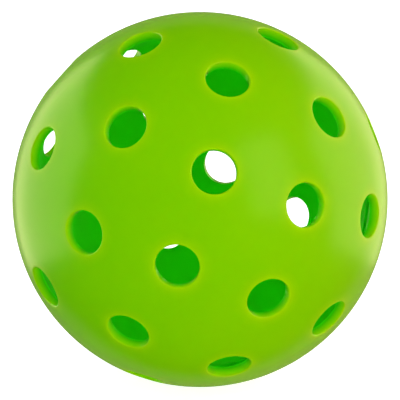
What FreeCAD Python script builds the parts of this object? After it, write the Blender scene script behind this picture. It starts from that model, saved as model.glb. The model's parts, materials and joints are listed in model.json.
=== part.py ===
# Outdoor pickleball ball: two perforated half-shells joined by a stepped, welded seam.
#
# Each half is drawn in its own frame, with its pole on +Z and the seam in the plane z = 0.
# Its Placement then lays that pole along the ball's axis, which is Y: the front half's pole
# points to -Y and the rear half's to +Y. The origin is the ball's centre. Millimetres, degrees.
import math
import os

import FreeCAD
import Part
import Sketcher
from FreeCAD import Vector

SIZES = {
    "outer_radius": 37.0,
    "wall": 2.0,
    # holes: radius, and the rounding of their outer and inner edges
    "hole_radius": 4.2,
    "outer_round": 0.3,
    "inner_round": 0.2,
    # angle of each ring of holes from its half's pole, and the number of holes in it
    "ring_one_angle": 21.4,
    "ring_one_count": 4,
    "ring_two_angle": 49.4,
    "ring_two_count": 8,
    "ring_three_angle": 75.6,
    "ring_three_count": 8,
    # turn of each ring's first hole about the pole: ring two stands halfway between the holes of
    # rings one and three, and the half's own X axis meets no hole
    "ring_one_turn": 33.75,
    "ring_two_turn": 11.25,
    "ring_three_turn": 33.75,
    # how far ring one of each half is turned about the ball's axis, from +Z towards -X
    "front_turn": 22.5,
    "rear_turn": 91.3,
    # joint: the front half's tongue lies inside the rear half's lip
    "lip_wall": 0.95,
    "tongue_length": 1.2,
    "weld_gap": 0.3,
    # flash bead that the weld leaves inside the ball
    "bead_width": 1.2,
    "bead_height": 0.35,
}
DERIVED_SIZES = {
    "inner_radius": "outer_radius - wall",
    "joint_radius": "outer_radius - lip_wall",
    "rebate_depth": "tongue_length + weld_gap",
    "bead_start": "tongue_length + weld_gap / 2 - bead_width / 2",
    "bead_end": "tongue_length + weld_gap / 2 + bead_width / 2",
    "bead_radius": "(bead_width ^ 2 / 4 + bead_height ^ 2) / (2 * bead_height)",
}
FULL_TURN = 360.0
# how near an edge must be to a hole's rim to be taken for it, and how far the volume that a ring of
# holes removes may be from that of flat plugs
RIM_TOLERANCE = 0.01
PLUG_TOLERANCE = 0.02
# how a body is laid down so that its +Z points to -Y or +Y: its roll, and the sign with which a
# turn about its own +Z counts towards the turn from +Z to -X
TO_FRONT = (-90, -1)
TO_REAR = (90, 1)

doc = FreeCAD.newDocument("PickleballBall")


def make_sheet():
    table = doc.addObject("Spreadsheet::Sheet", "Sizes")
    cells = {name: str(value) for name, value in SIZES.items()}
    cells.update({name: "=" + formula for name, formula in DERIVED_SIZES.items()})
    for row, name in enumerate(cells, start=1):
        table.set(f"A{row}", name)
        table.setAlias(f"B{row}", name)
    for row, text in enumerate(cells.values(), start=1):
        table.set(f"B{row}", text)
    doc.recompute()
    return table


sheet = make_sheet()


def size(name):
    return float(getattr(sheet, name))


def new_body(name, turn, lay):
    """A body laid with its local +Z along the ball's -Y or +Y, and turned about it so that the first
    hole of ring one stands at the turn in a cell of the sheet."""
    roll, sign = lay
    body = doc.addObject("PartDesign::Body", name)
    body.Label = name
    pitch = f"Sizes.{turn} + {sign} * Sizes.ring_one_turn - 90"
    rotation = f"create(<<rotation>>; 180; {pitch}; {roll})"
    body.setExpression("Placement", f"create(<<placement>>; create(<<vector>>; 0; 0; 0); {rotation})")
    return body


def origin_feature(body, role):
    return next(f for f in body.Origin.OriginFeatures if f.Role == role)


def new_sketch(body, name, plane):
    sketch = body.newObject("Sketcher::SketchObject", name)
    sketch.AttachmentSupport = [(origin_feature(body, plane), "")]
    sketch.MapMode = "FlatFace"
    return sketch


# points of the geometry in a sketch, as Sketcher numbers them
START, END, CENTRE = 1, 2, 3
HORIZONTAL_AXIS = -1
VERTICAL_AXIS = -2
ORIGIN = (HORIZONTAL_AXIS, START)


def join(sketch, first, first_point, second, second_point):
    sketch.addConstraint(Sketcher.Constraint("Coincident", first, first_point, second, second_point))


def bind(sketch, constraint, cell):
    """Add a dimension to a sketch and tie it to a cell of the sheet."""
    number = sketch.addConstraint(constraint)
    sketch.setExpression(f"Constraints[{number}]", f"Sizes.{cell}")


def sphere_point(radius, z):
    """The point of a sphere's section at height z, in the sketch's own X and Y."""
    return Vector(math.sqrt(radius**2 - z**2), z, 0)


def arc(centre, start, end):
    """An arc about centre, anticlockwise from start to end."""
    circle = Part.Circle(centre, Vector(0, 0, 1), (start - centre).Length)
    return Part.ArcOfCircle(circle, circle.parameter(start), circle.parameter(end))


def shell_section(body, step):
    """Section of a half-shell. step is the signed height of the joint's inner face, a cell of the
    sheet and its sign: below the seam for the tongue, above it for the rebate."""
    cell, sign = step
    outer, inner = size("outer_radius"), size("inner_radius")
    joint, step_z = size("joint_radius"), sign * size(cell)
    centre = Vector(0, 0, 0)
    seam = sphere_point(outer, 0)
    shoulder = Vector(joint, 0, 0)
    corner = Vector(joint, step_z, 0)
    inner_end = sphere_point(inner, step_z)
    pole_out = Vector(0, outer, 0)
    pole_in = Vector(0, inner, 0)
    sketch = new_sketch(body, body.Label + "_section", "XZ_Plane")
    outer_arc = sketch.addGeometry(arc(centre, seam, pole_out))
    pole_line = sketch.addGeometry(Part.LineSegment(pole_out, pole_in))
    inner_arc = sketch.addGeometry(arc(centre, inner_end, pole_in))
    step_line = sketch.addGeometry(Part.LineSegment(inner_end, corner))
    side_line = sketch.addGeometry(Part.LineSegment(corner, shoulder))
    seam_line = sketch.addGeometry(Part.LineSegment(shoulder, seam))
    join(sketch, outer_arc, CENTRE, *ORIGIN)
    join(sketch, inner_arc, CENTRE, *ORIGIN)
    join(sketch, outer_arc, END, pole_line, START)
    join(sketch, pole_line, END, inner_arc, END)
    join(sketch, inner_arc, START, step_line, START)
    join(sketch, step_line, END, side_line, START)
    join(sketch, side_line, END, seam_line, START)
    join(sketch, seam_line, END, outer_arc, START)
    sketch.addConstraint(Sketcher.Constraint("PointOnObject", outer_arc, END, VERTICAL_AXIS))
    sketch.addConstraint(Sketcher.Constraint("Vertical", pole_line))
    sketch.addConstraint(Sketcher.Constraint("Horizontal", step_line))
    sketch.addConstraint(Sketcher.Constraint("Vertical", side_line))
    sketch.addConstraint(Sketcher.Constraint("Horizontal", seam_line))
    sketch.addConstraint(Sketcher.Constraint("PointOnObject", outer_arc, START, HORIZONTAL_AXIS))
    bind(sketch, Sketcher.Constraint("Radius", outer_arc, outer), "outer_radius")
    bind(sketch, Sketcher.Constraint("Radius", inner_arc, inner), "inner_radius")
    bind(sketch, Sketcher.Constraint("DistanceX", *ORIGIN, side_line, END, joint), "joint_radius")
    ends = (side_line, START, side_line, END) if sign < 0 else (side_line, END, side_line, START)
    bind(sketch, Sketcher.Constraint("DistanceY", *ends, size(cell)), cell)
    return sketch


def revolve(body, sketch, name):
    feature = body.newObject("PartDesign::Revolution", name)
    feature.Profile = sketch
    feature.ReferenceAxis = (origin_feature(body, "Z_Axis"), [""])
    feature.Angle = FULL_TURN
    sketch.Visibility = False
    doc.recompute()
    return feature


def drill_ring(body, ring):
    """Drill a ring of holes square to the wall: one pocket from the centre outwards, patterned
    about the pole."""
    sketch = new_sketch(body, f"{body.Label}_{ring}_hole", "XY_Plane")
    rotation = f"create(<<rotation>>; Sizes.{ring}_turn; Sizes.{ring}_angle; 0)"
    offset = f"create(<<placement>>; create(<<vector>>; 0; 0; 0); {rotation})"
    sketch.setExpression("AttachmentOffset", offset)
    circle = Part.Circle(Vector(0, 0, 0), Vector(0, 0, 1), size("hole_radius"))
    hole = sketch.addGeometry(circle)
    join(sketch, hole, CENTRE, *ORIGIN)
    bind(sketch, Sketcher.Constraint("Radius", hole, size("hole_radius")), "hole_radius")
    doc.recompute()
    volume_before = body.Shape.Volume
    pocket = body.newObject("PartDesign::Pocket", f"{body.Label}_{ring}_pocket")
    pocket.Profile = sketch
    pocket.Reversed = True
    pocket.setExpression("Length", "Sizes.outer_radius + Sizes.wall")
    sketch.Visibility = False
    doc.recompute()
    pattern = body.newObject("PartDesign::PolarPattern", f"{body.Label}_{ring}_pattern")
    pattern.Originals = [pocket]
    pattern.Axis = (origin_feature(body, "Z_Axis"), [""])
    pattern.Angle = FULL_TURN
    pattern.setExpression("Occurrences", f"Sizes.{ring}_count")
    body.Tip = pattern
    doc.recompute()
    drilled = volume_before - body.Shape.Volume
    plug = math.pi * size("hole_radius") ** 2 * size("wall") * size(f"{ring}_count")
    if abs(drilled / plug - 1) > PLUG_TOLERANCE:
        raise RuntimeError(f"{pattern.Name} cut {drilled:.1f} mm3 where {plug:.1f} was expected")


def hole_edges(shape, sphere_radius):
    """Names of the round edges where the holes meet the sphere of this radius."""
    hole = size("hole_radius")
    rim_distance = math.sqrt(sphere_radius**2 - hole**2)
    names = []
    for number, edge in enumerate(shape.Edges, start=1):
        if edge.Degenerated or not isinstance(edge.Curve, Part.Circle):
            continue
        on_hole = abs(edge.Curve.Radius - hole) < RIM_TOLERANCE
        if on_hole and abs(edge.Curve.Center.Length - rim_distance) < RIM_TOLERANCE:
            names.append(f"Edge{number}")
    return names


def round_edges(body, sphere, rounding):
    base = body.Tip
    names = hole_edges(base.Shape, size(sphere))
    fillet = body.newObject("PartDesign::Fillet", f"{body.Label}_{rounding}")
    fillet.Base = (base, names)
    fillet.setExpression("Radius", f"Sizes.{rounding}")
    body.Tip = fillet
    doc.recompute()
    return len(names)


def make_half_shell(name, turn, lay, step):
    body = new_body(name, turn, lay)
    revolve(body, shell_section(body, step), f"{name}_shell")
    for ring in ("ring_one", "ring_two", "ring_three"):
        drill_ring(body, ring)
    outer_count = round_edges(body, "outer_radius", "outer_round")
    inner_count = round_edges(body, "inner_radius", "inner_round")
    print(name, "rounded", outer_count, "outer and", inner_count, "inner hole edges")
    return body


def make_seam_weld():
    """Ring of fused plastic between the tongue's end and the rebate, in the rear half's own frame:
    a thin web through the wall, and a low rounded bead against the inside of both halves."""
    body = new_body("seam_weld", "rear_turn", TO_REAR)
    inner, joint = size("inner_radius"), size("joint_radius")
    heights = [size(c) for c in ("bead_start", "tongue_length", "rebate_depth", "bead_end")]
    bead_low, web_low, web_high, bead_high = heights
    centre = Vector(0, 0, 0)
    low, low_in = sphere_point(inner, bead_low), sphere_point(inner, web_low)
    high_in, high = sphere_point(inner, web_high), sphere_point(inner, bead_high)
    outer_low, outer_high = Vector(joint, web_low, 0), Vector(joint, web_high, 0)
    half_chord = (high - low) / 2
    outward = Vector(half_chord.y, -half_chord.x, 0).normalize()
    depth = math.sqrt(size("bead_radius") ** 2 - half_chord.Length**2)
    bead_centre = low + half_chord + outward * depth
    sketch = new_sketch(body, "seam_weld_section", "XZ_Plane")
    low_arc = sketch.addGeometry(arc(centre, low, low_in))
    low_line = sketch.addGeometry(Part.LineSegment(low_in, outer_low))
    outer_line = sketch.addGeometry(Part.LineSegment(outer_low, outer_high))
    high_line = sketch.addGeometry(Part.LineSegment(outer_high, high_in))
    high_arc = sketch.addGeometry(arc(centre, high_in, high))
    bead_arc = sketch.addGeometry(arc(bead_centre, high, low))
    for sphere_arc in (low_arc, high_arc):
        join(sketch, sphere_arc, CENTRE, *ORIGIN)
        bind(sketch, Sketcher.Constraint("Radius", sphere_arc, inner), "inner_radius")
    join(sketch, low_arc, END, low_line, START)
    join(sketch, low_line, END, outer_line, START)
    join(sketch, outer_line, END, high_line, START)
    join(sketch, high_line, END, high_arc, START)
    join(sketch, high_arc, END, bead_arc, START)
    join(sketch, bead_arc, END, low_arc, START)
    sketch.addConstraint(Sketcher.Constraint("Horizontal", low_line))
    sketch.addConstraint(Sketcher.Constraint("Vertical", outer_line))
    sketch.addConstraint(Sketcher.Constraint("Horizontal", high_line))
    bind(sketch, Sketcher.Constraint("DistanceX", *ORIGIN, outer_line, START, joint), "joint_radius")
    dimensions = [
        (low_arc, START, "bead_start"),
        (outer_line, START, "tongue_length"),
        (outer_line, END, "rebate_depth"),
        (high_arc, END, "bead_end"),
    ]
    for edge, point, cell in dimensions:
        bind(sketch, Sketcher.Constraint("DistanceY", *ORIGIN, edge, point, size(cell)), cell)
    bead_radius = size("bead_radius")
    bind(sketch, Sketcher.Constraint("Radius", bead_arc, bead_radius), "bead_radius")
    revolve(body, sketch, "seam_weld_ring")
    return body


def check_document(bodies):
    """Stop if any object failed or any body is not one valid solid."""
    for thing in doc.Objects:
        if "Invalid" in thing.State or "Error" in thing.State:
            raise RuntimeError(f"{thing.Name} failed: {thing.State}")
    for body in bodies:
        shape = body.Shape
        if shape.isNull() or not shape.isValid() or len(shape.Solids) != 1:
            raise RuntimeError(f"{body.Label} is not one valid solid")
        print(body.Label, f"{shape.Volume:.1f} mm3")


def export(bodies):
    os.makedirs("parts", exist_ok=True)
    for body in bodies:
        body.Shape.exportStep(f"parts/{body.Label}.step")


halves = [
    make_half_shell("front_half_shell", "front_turn", TO_FRONT, ("tongue_length", -1)),
    make_half_shell("rear_half_shell", "rear_turn", TO_REAR, ("rebate_depth", 1)),
]
all_bodies = halves + [make_seam_weld()]
doc.recompute()
check_document(all_bodies)
export(all_bodies)
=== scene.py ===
# Outdoor pickleball ball on a white studio floor. Lengths in metres, angles in degrees.
import json
import math

import bpy
import numpy as np
from mathutils import Matrix, Vector
from mathutils.geometry import delaunay_2d_cdt


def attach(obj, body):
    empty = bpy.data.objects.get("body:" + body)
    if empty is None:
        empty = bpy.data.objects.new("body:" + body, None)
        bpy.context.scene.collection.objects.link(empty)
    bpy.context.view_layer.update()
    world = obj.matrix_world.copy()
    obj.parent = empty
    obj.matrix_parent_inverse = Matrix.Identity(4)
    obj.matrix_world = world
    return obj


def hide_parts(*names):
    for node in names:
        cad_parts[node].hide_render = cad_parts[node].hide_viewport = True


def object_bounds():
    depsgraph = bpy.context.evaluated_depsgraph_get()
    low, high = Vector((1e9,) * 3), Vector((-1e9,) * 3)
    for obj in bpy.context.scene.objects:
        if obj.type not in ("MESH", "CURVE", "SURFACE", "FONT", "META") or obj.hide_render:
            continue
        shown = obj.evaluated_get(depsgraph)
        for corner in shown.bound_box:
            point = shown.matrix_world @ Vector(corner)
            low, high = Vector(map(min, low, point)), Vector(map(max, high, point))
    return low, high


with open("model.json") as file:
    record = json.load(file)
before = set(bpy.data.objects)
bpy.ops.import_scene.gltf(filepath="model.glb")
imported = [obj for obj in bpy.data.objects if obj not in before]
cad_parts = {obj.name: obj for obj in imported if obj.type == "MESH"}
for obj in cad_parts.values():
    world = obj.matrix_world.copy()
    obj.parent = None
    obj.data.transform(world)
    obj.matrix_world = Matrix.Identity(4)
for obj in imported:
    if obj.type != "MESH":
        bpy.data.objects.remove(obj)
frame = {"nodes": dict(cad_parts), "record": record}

MM = 0.001
cad_low, cad_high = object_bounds()
RADIUS = (cad_high.z - cad_low.z) / 2
WALL = 2.0 * MM
INNER_RADIUS = RADIUS - WALL
HOLE_RADIUS = frame["record"]["mounts"][0]["dims"]["r_mm"] * MM
OUTER_ROUND = 0.3 * MM
INNER_ROUND = 0.2 * MM
# rings of holes in each half: angle from its pole, number of holes, turn of the first one
RINGS = [(21.4, 4, 0.0), (49.4, 8, 22.5), (75.6, 8, 0.0)]
FRONT_TURN = 22.5
REAR_TURN = 91.3
# the joint between the halves
SEAM_ROUND = 0.03 * MM
JOINT_RADIUS = RADIUS - 0.95 * MM
TONGUE = 1.2 * MM
REBATE = 1.5 * MM
# a painted glow: the skin is painted lighter round each hole, where light leaks out of the edge: its
# width, and the power that shapes its fading
HALO_WIDTH = 2.0 * MM
HALO_FALLOFF = 1.3
# mesh density. Round each hole stands one loop of points on its edge and two near it, whose distances
# from the edge are counted in steps between two points of the edge
HOLE_POINTS = 72
FIRST_NEAR_LOOP = 0.95
SECOND_NEAR_LOOP = 2.4
OUTER_ARC_STEPS = 8
INNER_ARC_STEPS = 5
# the rest of the skin is a lattice, which keeps these parts of its spacing from the seam and from
# the loops
EDGE_SPACING = 1.15 * MM
SEAM_CLEARANCE = 0.75
LOOP_CLEARANCE = 0.7
# area of one point's cell in a triangular lattice whose spacing is 1
LATTICE_CELL = 0.866
GOLDEN_ANGLE = math.pi * (3 - math.sqrt(5))
# the triangulation's tolerance, and how large the sphere's map is drawn for it
TOLERANCE = 1e-9
MAP_SCALE = 10
# points this close to one of the two spheres belong to it
ON_SPHERE = 1e-7


def polar(angle, turn):
    """Unit vector at an angle from +Z, turned about it from +X."""
    tilt, turn = math.radians(angle), math.radians(turn)
    return np.array([math.sin(tilt) * math.cos(turn), math.sin(tilt) * math.sin(turn), math.cos(tilt)])


HOLES = [
    polar(angle, first + 360 * k / count) for angle, count, first in RINGS for k in range(count)
]


def square_to(axis):
    """Two unit vectors square to axis and to each other."""
    side = np.cross(axis, [0, 0, 1.0])
    side /= np.linalg.norm(side)
    return side, np.cross(axis, side)


def circle_round(axis, count, shift=0.0):
    """Unit vectors square to axis, evenly spaced round it, the first one turned by shift of a step."""
    side, up = square_to(axis)
    turns = (np.arange(count) + shift) * 2 * math.pi / count
    return np.cos(turns)[:, None] * side + np.sin(turns)[:, None] * up


def circle_on_sphere(axis, angle, count, shift=0.0):
    """Unit vectors at an angle in radians from axis, evenly spaced round it."""
    return math.cos(angle) * axis + math.sin(angle) * circle_round(axis, count, shift)


def lattice_on_sphere(spacing):
    """Unit vectors spread evenly over the whole sphere, about spacing apart in radians."""
    total = int(4 * math.pi / (LATTICE_CELL * spacing**2))
    number = np.arange(total)
    height = 1 - (2 * number + 1) / total
    reach = np.sqrt(1 - height**2)
    turn = number * GOLDEN_ANGLE
    return np.stack([reach * np.cos(turn), reach * np.sin(turn), height], 1)


def flat_map(points):
    """Stereographic map of unit vectors from the far pole, which keeps Delaunay triangles Delaunay."""
    return points[:, :2] / (1 + points[:, 2:3])


def cap_points(radius, edge_z, hole_angle):
    """Unit vectors for a cap above edge_z with a gap round each hole: its loops, which are the rim and
    then the holes, and the points between them."""
    rim_count = 6 * round(2 * math.pi * radius / EDGE_SPACING / 6)
    sin_edge = edge_z / radius
    cos_edge = math.sqrt(1 - sin_edge**2)
    turns = np.arange(rim_count) * 2 * math.pi / rim_count
    rim = np.stack([cos_edge * np.cos(turns), cos_edge * np.sin(turns), np.full(rim_count, sin_edge)], 1)
    loops = [rim] + [circle_on_sphere(axis, hole_angle, HOLE_POINTS) for axis in HOLES]
    step = 2 * math.pi * math.sin(hole_angle) / HOLE_POINTS
    between = []
    for axis in HOLES:
        first_angle = hole_angle + FIRST_NEAR_LOOP * step
        second_angle = hole_angle + SECOND_NEAR_LOOP * step
        between.append(circle_on_sphere(axis, first_angle, HOLE_POINTS, 0.5))
        between.append(circle_on_sphere(axis, second_angle, HOLE_POINTS * 2 // 3, 0.25))
    spacing = EDGE_SPACING / radius
    lattice = lattice_on_sphere(spacing)
    lattice = lattice[lattice[:, 2] > sin_edge + SEAM_CLEARANCE * spacing]
    clear_of_hole = math.cos(hole_angle + SECOND_NEAR_LOOP * step + LOOP_CLEARANCE * spacing)
    for axis in HOLES:
        lattice = lattice[lattice @ axis < clear_of_hole]
    return loops, between + [lattice]


def perforated_cap(radius, edge_z, hole_angle):
    """Triangulated cap of a sphere above edge_z with a gap round each hole. Returns its points,
    triangles, the rim loop's indices and each hole loop's indices."""
    loops, between = cap_points(radius, edge_z, hole_angle)
    points = np.concatenate(loops + between)
    edges, indices = [], []
    for end, loop in zip(np.cumsum([len(loop) for loop in loops]), loops):
        ids = list(range(end - len(loop), end))
        indices.append(ids)
        edges += list(zip(ids, ids[1:] + ids[:1]))
    plane = [Vector(p) for p in flat_map(points) * MAP_SCALE]
    result = delaunay_2d_cdt(plane, edges, [], 0, TOLERANCE)
    triangulated, source_ids = result[2], result[3]
    source = [ids[0] for ids in source_ids]
    triangles = []
    in_hole = math.cos(hole_angle * 0.999)
    axes = np.array(HOLES)
    for face in triangulated:
        ids = [source[i] for i in face]
        middle = points[ids].mean(0)
        middle /= np.linalg.norm(middle)
        if (axes @ middle).max() < in_hole:
            triangles.append(ids)
    return points * radius, triangles, indices[0], indices[1:]


def rim_profile():
    """Section of a hole's edge from the outside to the inside, as (distance from the hole's axis,
    distance along it): outer rounding, bore and inner rounding. Also the angles from the hole's axis,
    in radians, at which the roundings meet the outer and the inner sphere."""
    section = []
    off_axis = HOLE_RADIUS + OUTER_ROUND
    to_centre = RADIUS - OUTER_ROUND
    outer_angle = math.asin(off_axis / to_centre)
    for k in range(1, OUTER_ARC_STEPS + 1):
        turn = outer_angle + (-math.pi / 2 - outer_angle) * k / OUTER_ARC_STEPS
        along = math.sqrt(to_centre**2 - off_axis**2) + OUTER_ROUND * math.cos(turn)
        section.append((off_axis + OUTER_ROUND * math.sin(turn), along))
    off_axis = HOLE_RADIUS + INNER_ROUND
    to_centre = INNER_RADIUS + INNER_ROUND
    inner_angle = math.asin(off_axis / to_centre)
    end = -math.pi + inner_angle
    for k in range(INNER_ARC_STEPS):
        turn = -math.pi / 2 + (end + math.pi / 2) * k / INNER_ARC_STEPS
        along = math.sqrt(to_centre**2 - off_axis**2) + INNER_ROUND * math.cos(turn)
        section.append((off_axis + INNER_ROUND * math.sin(turn), along))
    return section, outer_angle, inner_angle


def bridge(faces, first, second):
    """Quads between two loops of equal length."""
    count = len(first)
    for k in range(count):
        n = (k + 1) % count
        faces.append([first[k], first[n], second[n], second[k]])


def zip_loops(faces, first, second):
    """Triangles between two loops about +Z that have different numbers of points."""
    i = j = 0
    while i < len(first) or j < len(second):
        if j == len(second) or (i < len(first) and (i + 1) / len(first) <= (j + 1) / len(second)):
            faces.append([first[i % len(first)], first[(i + 1) % len(first)], second[j % len(second)]])
            i += 1
        else:
            faces.append([first[i % len(first)], second[(j + 1) % len(second)], second[j % len(second)]])
            j += 1


def half_shell_mesh(step_z):
    """Closed mesh of a half-shell with its pole on +Z and its seam at z = 0. step_z is the height of
    the joint's inner face: negative for the tongue, positive for the rebate."""
    section, outer_angle, inner_angle = rim_profile()
    outer, outer_faces, outer_rim, outer_holes = perforated_cap(RADIUS, SEAM_ROUND, outer_angle)
    inner, inner_faces, inner_rim, inner_holes = perforated_cap(INNER_RADIUS, step_z, inner_angle)
    points = [outer, inner]
    faces = [list(f) for f in outer_faces]
    shift = len(outer)
    faces += [[i + shift for i in reversed(f)] for f in inner_faces]
    inner_rim = [i + shift for i in inner_rim]
    inner_holes = [[i + shift for i in loop] for loop in inner_holes]
    count = shift + len(inner)

    def add(loop_points):
        nonlocal count
        points.append(loop_points)
        ids = list(range(count, count + len(loop_points)))
        count += len(loop_points)
        return ids

    for axis, outer_loop, inner_loop in zip(HOLES, outer_holes, inner_holes):
        ring = circle_round(axis, HOLE_POINTS)
        last = outer_loop
        for off_axis, along in section:
            loop = add(along * axis + off_axis * ring)
            bridge(faces, last, loop)
            last = loop
        bridge(faces, last, inner_loop)
    # the seam's rounded edge, in two steps, and then the joint's step
    turns = np.arange(len(outer_rim)) * 2 * math.pi / len(outer_rim)
    ring = np.stack([np.cos(turns), np.sin(turns), 0 * turns], 1)
    up = np.array([0, 0, 1.0])
    last = outer_rim
    for reach, height in [
        (RADIUS - 0.3 * SEAM_ROUND, 0.3 * SEAM_ROUND),
        (RADIUS - SEAM_ROUND, 0.0),
        (JOINT_RADIUS, 0.0),
        (JOINT_RADIUS, step_z),
    ]:
        loop = add(reach * ring + height * up)
        bridge(faces, loop, last)
        last = loop
    zip_loops(faces, last, inner_rim)
    return np.concatenate(points), faces


def to_row(points, pole, turn):
    """Lay local +Z along the pole, with local +X turned about it from the row's +Z towards -X."""
    angle = math.radians(turn)
    local_x = np.array([-math.sin(angle), 0, math.cos(angle)])
    local_z = np.array(pole, float)
    return points @ np.array([local_x, np.cross(local_z, local_x), local_z])


def rim_glow(points):
    """Painted glow: 1 at the edge of a hole, fading to 0 over HALO_WIDTH of the skin round it."""
    ways = points / np.linalg.norm(points, axis=1)[:, None]
    near = (ways @ np.array(HOLES).T).max(1)
    beyond = (np.arccos(np.clip(near, -1, 1)) * RADIUS - HOLE_RADIUS) / HALO_WIDTH
    return np.clip(1 - beyond, 0, 1) ** HALO_FALLOFF


def add_object(name, data):
    obj = bpy.data.objects.new(name, data)
    bpy.context.scene.collection.objects.link(obj)
    return obj


def add_mesh(name, points, glow, faces, material):
    """Smooth-shaded mesh object that also carries the painted glow of each of its points."""
    mesh = bpy.data.meshes.new(name)
    mesh.from_pydata([tuple(p) for p in points], [], faces)
    mesh.update()
    attribute = mesh.attributes.new("rim_glow", "FLOAT", "POINT")
    attribute.data.foreach_set("value", glow.astype(np.float32))
    mesh.shade_smooth()
    mesh.set_sharp_from_angle(angle=math.radians(35))
    # the two spheres shade as true spheres up to their rims; zero keeps a point's own normal
    reach = np.linalg.norm(points, axis=1)
    outside = np.abs(reach - RADIUS) < ON_SPHERE
    inside = np.abs(reach - INNER_RADIUS) < ON_SPHERE
    side = outside.astype(float) - inside
    mesh.normals_split_custom_set_from_vertices((points * (side / reach)[:, None]).tolist())
    mesh.materials.append(material)
    return add_object(name, mesh)


def noise(tree, coordinates, scale, detail):
    node = tree.nodes.new("ShaderNodeTexNoise")
    node.inputs["Scale"].default_value = scale
    node.inputs["Detail"].default_value = detail
    tree.links.new(coordinates, node.inputs["Vector"])
    return node.outputs["Fac"]


def mapped(tree, value, from_low, from_high, to_low, to_high):
    node = tree.nodes.new("ShaderNodeMapRange")
    for name, number in zip(
        ("From Min", "From Max", "To Min", "To Max"), (from_low, from_high, to_low, to_high)
    ):
        node.inputs[name].default_value = number
    tree.links.new(value, node.inputs["Value"])
    return node.outputs["Result"]


def mixed(tree, factor, first, second):
    """Colour mix. first and second are colours or sockets, factor a number or a socket."""
    node = tree.nodes.new("ShaderNodeMix")
    node.data_type = "RGBA"
    for socket, value in ((node.inputs[0], factor), (node.inputs[6], first), (node.inputs[7], second)):
        if isinstance(value, bpy.types.NodeSocket):
            tree.links.new(value, socket)
        elif isinstance(value, tuple):
            socket.default_value = (*value, 1)
        else:
            socket.default_value = value
    return node.outputs[2]


# pigmented polyethylene: the colour seen on the outside, and painted light: a lighter lime glow round
# each hole, and the brighter, deeper green of light that has been through the wall or round the inside,
# painted down each bore and on the inside
SKIN_LIME = (0.195, 0.56, 0.0002)
MOTTLE_LIME = (0.21, 0.575, 0.0002)
# painted glow on the skin round each hole
PAINTED_GLOW_RIM_LIME = (0.30, 0.62, 0.0003)
# painted light down the bore and on the inside, brighter and deeper green than the skin
PAINTED_LIGHT_BORE_LIME = (0.27, 0.74, 0.0003)
PAINTED_LIGHT_BORE_GREEN = (0.06, 0.70, 0.0003)
PAINTED_LIGHT_INSIDE_GREEN = (0.055, 0.92, 0.002)


def shell_colour(tree, place):
    """Slightly mottled skin with a painted glow round the holes, painted light from lime to green
    down each bore, and a brighter deep green painted on the inside for light through the wall. The
    depth in the wall is the distance from the ball's centre."""
    reach = tree.nodes.new("ShaderNodeVectorMath")
    reach.operation = "LENGTH"
    tree.links.new(place, reach.inputs[0])
    depth = reach.outputs["Value"]
    mottle = noise(tree, place, scale=45, detail=3)
    skin = mixed(tree, mapped(tree, mottle, 0.3, 0.7, 0, 1), SKIN_LIME, MOTTLE_LIME)
    # painted glow: the skin is mixed towards a lighter lime at each hole's edge
    glow = tree.nodes.new("ShaderNodeAttribute")
    glow.attribute_name = "rim_glow"
    skin = mixed(tree, glow.outputs["Fac"], skin, PAINTED_GLOW_RIM_LIME)
    # painted light: each bore is painted from lime near the skin to green deeper in
    in_bore = mapped(tree, depth, INNER_RADIUS + 0.4 * MM, RADIUS - 0.6 * MM, 0, 1)
    bore = mixed(tree, in_bore, PAINTED_LIGHT_BORE_GREEN, PAINTED_LIGHT_BORE_LIME)
    # painted light: the inside is painted a brighter, deeper green than the skin
    off_inside = mapped(tree, depth, INNER_RADIUS + 0.05 * MM, INNER_RADIUS + 0.4 * MM, 0, 1)
    wall = mixed(tree, off_inside, PAINTED_LIGHT_INSIDE_GREEN, bore)
    near_skin = mapped(tree, depth, RADIUS - 0.5 * MM, RADIUS - 0.1 * MM, 0, 1)
    return mixed(tree, near_skin, wall, skin)


def moulded_normal(tree, place):
    """Normal bent by a fine grain on a wider ripple ten times as high."""
    grain = noise(tree, place, scale=900, detail=2)
    ripple = noise(tree, place, scale=60, detail=1)
    height = tree.nodes.new("ShaderNodeMath")
    height.operation = "MULTIPLY_ADD"
    tree.links.new(ripple, height.inputs[0])
    height.inputs[1].default_value = 10.0
    tree.links.new(grain, height.inputs[2])
    bump = tree.nodes.new("ShaderNodeBump")
    bump.inputs["Strength"].default_value = 1.0
    bump.inputs["Distance"].default_value = 0.003 * MM
    tree.links.new(height.outputs[0], bump.inputs["Height"])
    return bump.outputs["Normal"]


def lime_plastic(name):
    """Satin plastic that lets a little light in under its skin."""
    material = bpy.data.materials.new(name)
    material.use_nodes = True
    tree = material.node_tree
    shader = tree.nodes["Principled BSDF"]
    shader.inputs["IOR"].default_value = 1.48
    shader.inputs["Subsurface Weight"].default_value = 0.35
    shader.inputs["Subsurface Radius"].default_value = (0.5, 1.0, 0.1)
    shader.inputs["Subsurface Scale"].default_value = 0.8 * MM
    place = tree.nodes.new("ShaderNodeTexCoord").outputs["Object"]
    satin = noise(tree, place, scale=160, detail=3)
    tree.links.new(shell_colour(tree, place), shader.inputs["Base Color"])
    tree.links.new(mapped(tree, satin, 0.3, 0.7, 0.23, 0.27), shader.inputs["Roughness"])
    tree.links.new(moulded_normal(tree, place), shader.inputs["Normal"])
    return material


# camera: its direction, its distance, how much of the frame's half width the ball fills, how far the
# picture is shifted, in widths of the frame, and the sensor's width in mm
AZIMUTH, ELEVATION, ROLL = -13.0, 11.73, -0.43
DISTANCE = 15.5 * RADIUS
FRAME_FILL = 0.9385
FRAME_SHIFT = -0.00125
SENSOR = 36
# the camera's own directions: from the ball towards it, and to the right and up in the picture
azimuth, elevation = math.radians(AZIMUTH), math.radians(ELEVATION)
back = Vector((
    math.sin(azimuth) * math.cos(elevation),
    -math.cos(azimuth) * math.cos(elevation),
    math.sin(elevation),
))
right = Vector((math.cos(azimuth), math.sin(azimuth), 0))
above = back.cross(right)

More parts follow.
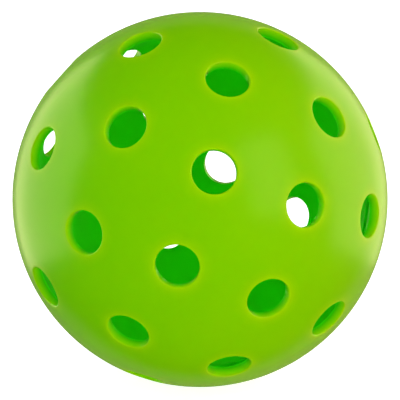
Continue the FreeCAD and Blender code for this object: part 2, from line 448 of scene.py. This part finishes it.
# panels: name, angle to the right of the camera's direction, angle above it, the width and height
# that they cover as angles, and radiance
PANELS = [
    ("left_panel", -117, 10, 68, 58, 1.75),
    ("right_panel", 120, 12, 72, 58, 1.35),
    ("key_panel", 43, 13, 28, 42, 1.0),
    ("back_panel", 180, 0, 90, 90, 0.3),
]
PANEL_COLOUR = (1.0, 0.97, 0.45)
PANEL_DISTANCE = 1.0
# fill light: its mean strength, how much stronger it is from FILL_FROM than square to that, how much
# redder it is from the right than from the front, and how wide each light's disc is
FILL, FILL_SLOPE = 0.62, 0.82
FILL_FROM = back + 0.42 * right + 0.05 * above
FILL_WARMTH = 0.5
FILL_DISC = 70
# floor: half its side, its grey, and the strength of its own light; and the backdrop's strength
FLOOR_REACH = 3.0
FLOOR_GREY = 0.6
FLOOR_GLOW = 0.9
BACKDROP = 1.02


def look_along(obj, way):
    """Turn a camera or light, which looks along its own -Z, to look along way."""
    obj.rotation_mode = "QUATERNION"
    obj.rotation_quaternion = way.to_track_quat("-Z", "Y")


def add_shell(name, pole, turn, step_z, material):
    """The finer mesh of a half-shell, in place of the CAD one."""
    points, faces = half_shell_mesh(step_z)
    skin = add_mesh(name + "_skin", to_row(points, pole, turn), rim_glow(points), faces, material)
    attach(skin, "root")
    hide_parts(name)


def add_camera():
    camera = add_object("camera", bpy.data.cameras.new("camera"))
    bpy.context.scene.camera = camera
    camera.location = back * DISTANCE
    look_along(camera, -back)
    roll = Matrix.Rotation(math.radians(ROLL), 3, "Z").to_quaternion()
    camera.rotation_quaternion = camera.rotation_quaternion @ roll
    half_angle = math.asin(RADIUS / DISTANCE)
    camera.data.sensor_width = SENSOR
    camera.data.lens = SENSOR / 2 * FRAME_FILL / math.tan(half_angle)
    camera.data.shift_y = FRAME_SHIFT
    camera.data.clip_start = 0.01


def add_panel(name, turn, lift, width, height, radiance):
    """A soft panel that the gloss reflects, and that the camera and the matt light don't see."""
    turn, lift = math.radians(turn), math.radians(lift)
    way = (back * math.cos(turn) + right * math.sin(turn)) * math.cos(lift) + above * math.sin(lift)
    light = bpy.data.lights.new(name, "AREA")
    light.color = PANEL_COLOUR
    light.shape = "RECTANGLE"
    light.size = 2 * PANEL_DISTANCE * math.tan(math.radians(width) / 2)
    light.size_y = 2 * PANEL_DISTANCE * math.tan(math.radians(height) / 2)
    light.energy = radiance * math.pi * light.size * light.size_y
    panel = add_object(name, light)
    panel.location = way * PANEL_DISTANCE
    look_along(panel, -way)
    panel.visible_camera = False
    panel.visible_diffuse = False


def add_fill():
    """Soft light from all round, strongest from FILL_FROM, that the gloss doesn't show."""
    axes = [Vector(v) for v in ((1, 0, 0), (0, 1, 0), (0, 0, 1))]
    corners = [Vector((x, y, 1)) for x in (-1, 1) for y in (-1, 1)]
    for number, line in enumerate(axes + corners):
        for sign in (-1, 1):
            way = sign * line.normalized()
            light = bpy.data.lights.new(f"fill_{number}_{sign}", "SUN")
            light.angle = math.radians(FILL_DISC)
            light.cycles.use_multiple_importance_sampling = False
            light.energy = FILL * (1 + FILL_SLOPE * way.dot(FILL_FROM.normalized()))
            light.color = (1 + FILL_WARMTH * way.dot(right), 1, 1)
            fill = add_object(light.name, light)
            look_along(fill, -way)
            fill.visible_glossy = False


def add_floor():
    """A white floor under the ball that casts no light or shadow on it."""
    mesh = bpy.data.meshes.new("floor")
    signs = ((-1, -1), (1, -1), (1, 1), (-1, 1))
    corners = [(x * FLOOR_REACH, y * FLOOR_REACH, -RADIUS) for x, y in signs]
    mesh.from_pydata(corners, [], [(0, 1, 2, 3)])
    floor = add_object("floor", mesh)
    paint = bpy.data.materials.new("floor_paint")
    paint.use_nodes = True
    shader = paint.node_tree.nodes["Principled BSDF"]
    shader.inputs["Base Color"].default_value = (FLOOR_GREY, FLOOR_GREY, FLOOR_GREY, 1)
    shader.inputs["Roughness"].default_value = 0.7
    shader.inputs["Emission Color"].default_value = (1, 1, 1, 1)
    shader.inputs["Emission Strength"].default_value = FLOOR_GLOW
    mesh.materials.append(paint)
    floor.visible_glossy = False
    floor.visible_diffuse = False
    floor.visible_shadow = False


def add_backdrop():
    """A white world that only the camera sees. The fill lights the ball and the gloss shows the
    panels."""
    world = bpy.data.worlds.new("studio")
    bpy.context.scene.world = world
    world.use_nodes = True
    background = world.node_tree.nodes["Background"]
    background.inputs["Color"].default_value = (1, 1, 1, 1)
    background.inputs["Strength"].default_value = BACKDROP
    for ray in ("diffuse", "glossy", "transmission", "scatter"):
        setattr(world.cycles_visibility, ray, False)


plastic = lime_plastic("lime_plastic")
add_shell("front_half_shell", (0, -1, 0), FRONT_TURN, -TONGUE, plastic)
add_shell("rear_half_shell", (0, 1, 0), REAR_TURN, REBATE, plastic)
weld = frame["nodes"]["seam_weld"].data
weld.materials.clear()
weld.materials.append(plastic)

add_camera()
add_floor()
add_backdrop()
add_fill()
for panel in PANELS:
    add_panel(*panel)

# light goes from wall to wall many times inside the ball
cycles = bpy.context.scene.cycles
cycles.max_bounces = 16
cycles.diffuse_bounces = 14
bpy.context.scene.view_settings.view_transform = "Standard"
